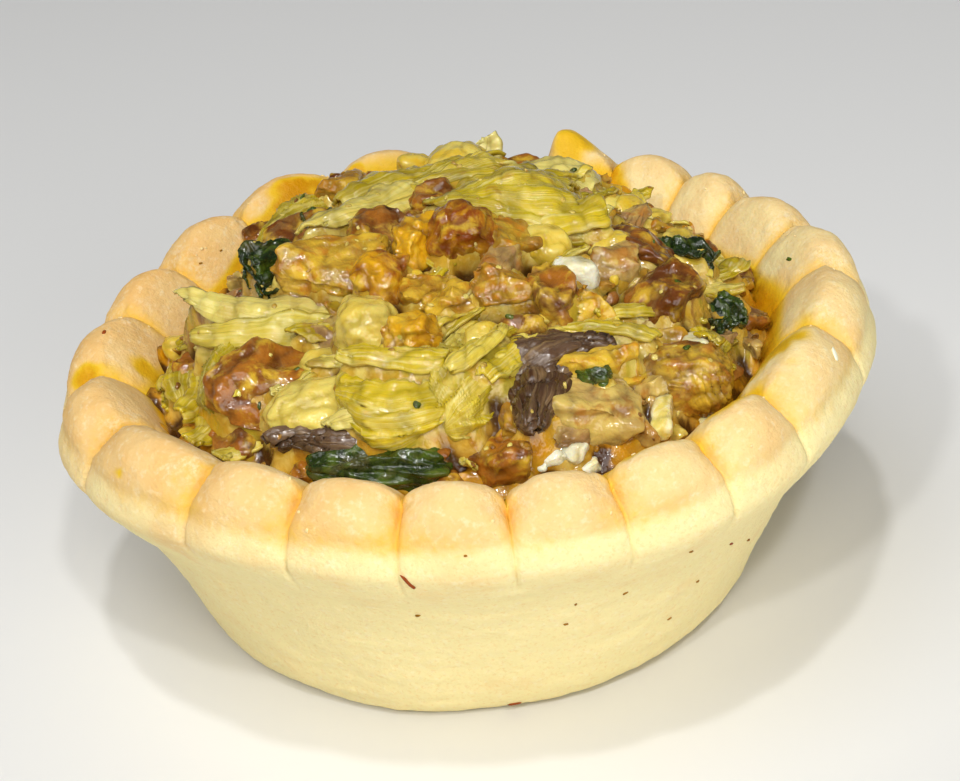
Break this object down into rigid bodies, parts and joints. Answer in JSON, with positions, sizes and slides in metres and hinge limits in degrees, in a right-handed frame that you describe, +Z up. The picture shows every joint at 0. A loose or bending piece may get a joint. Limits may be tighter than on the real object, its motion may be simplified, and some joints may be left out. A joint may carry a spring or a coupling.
{
  "type": "mushroom tartlet",
  "caption": "Small round savoury tartlet: a lobed shortcrust case filled to a dome with baked mushroom, leek, spinach and cheese.",
  "frame": {"origin": "centre of the box round the tartlet, at the flat underside of its base", "axes": "+Z up through the filling; -Y towards the front of the rim that the picture shows; the torn, pointed lobe of the rim is at the back, a little towards +X"},
  "size_m": [0.0682, 0.0642, 0.0348],
  "materials": {
    "crust": "matt, fine-crumbed baked shortcrust, pale cream with golden edges and creases",
    "filling": "moist and glossy, mixed yellow, brown and green"
  },
  "bodies": {
    "root": {"pastry_case": "crust", "mushroom_filling": "filling"}
  },
  "joints": []
}
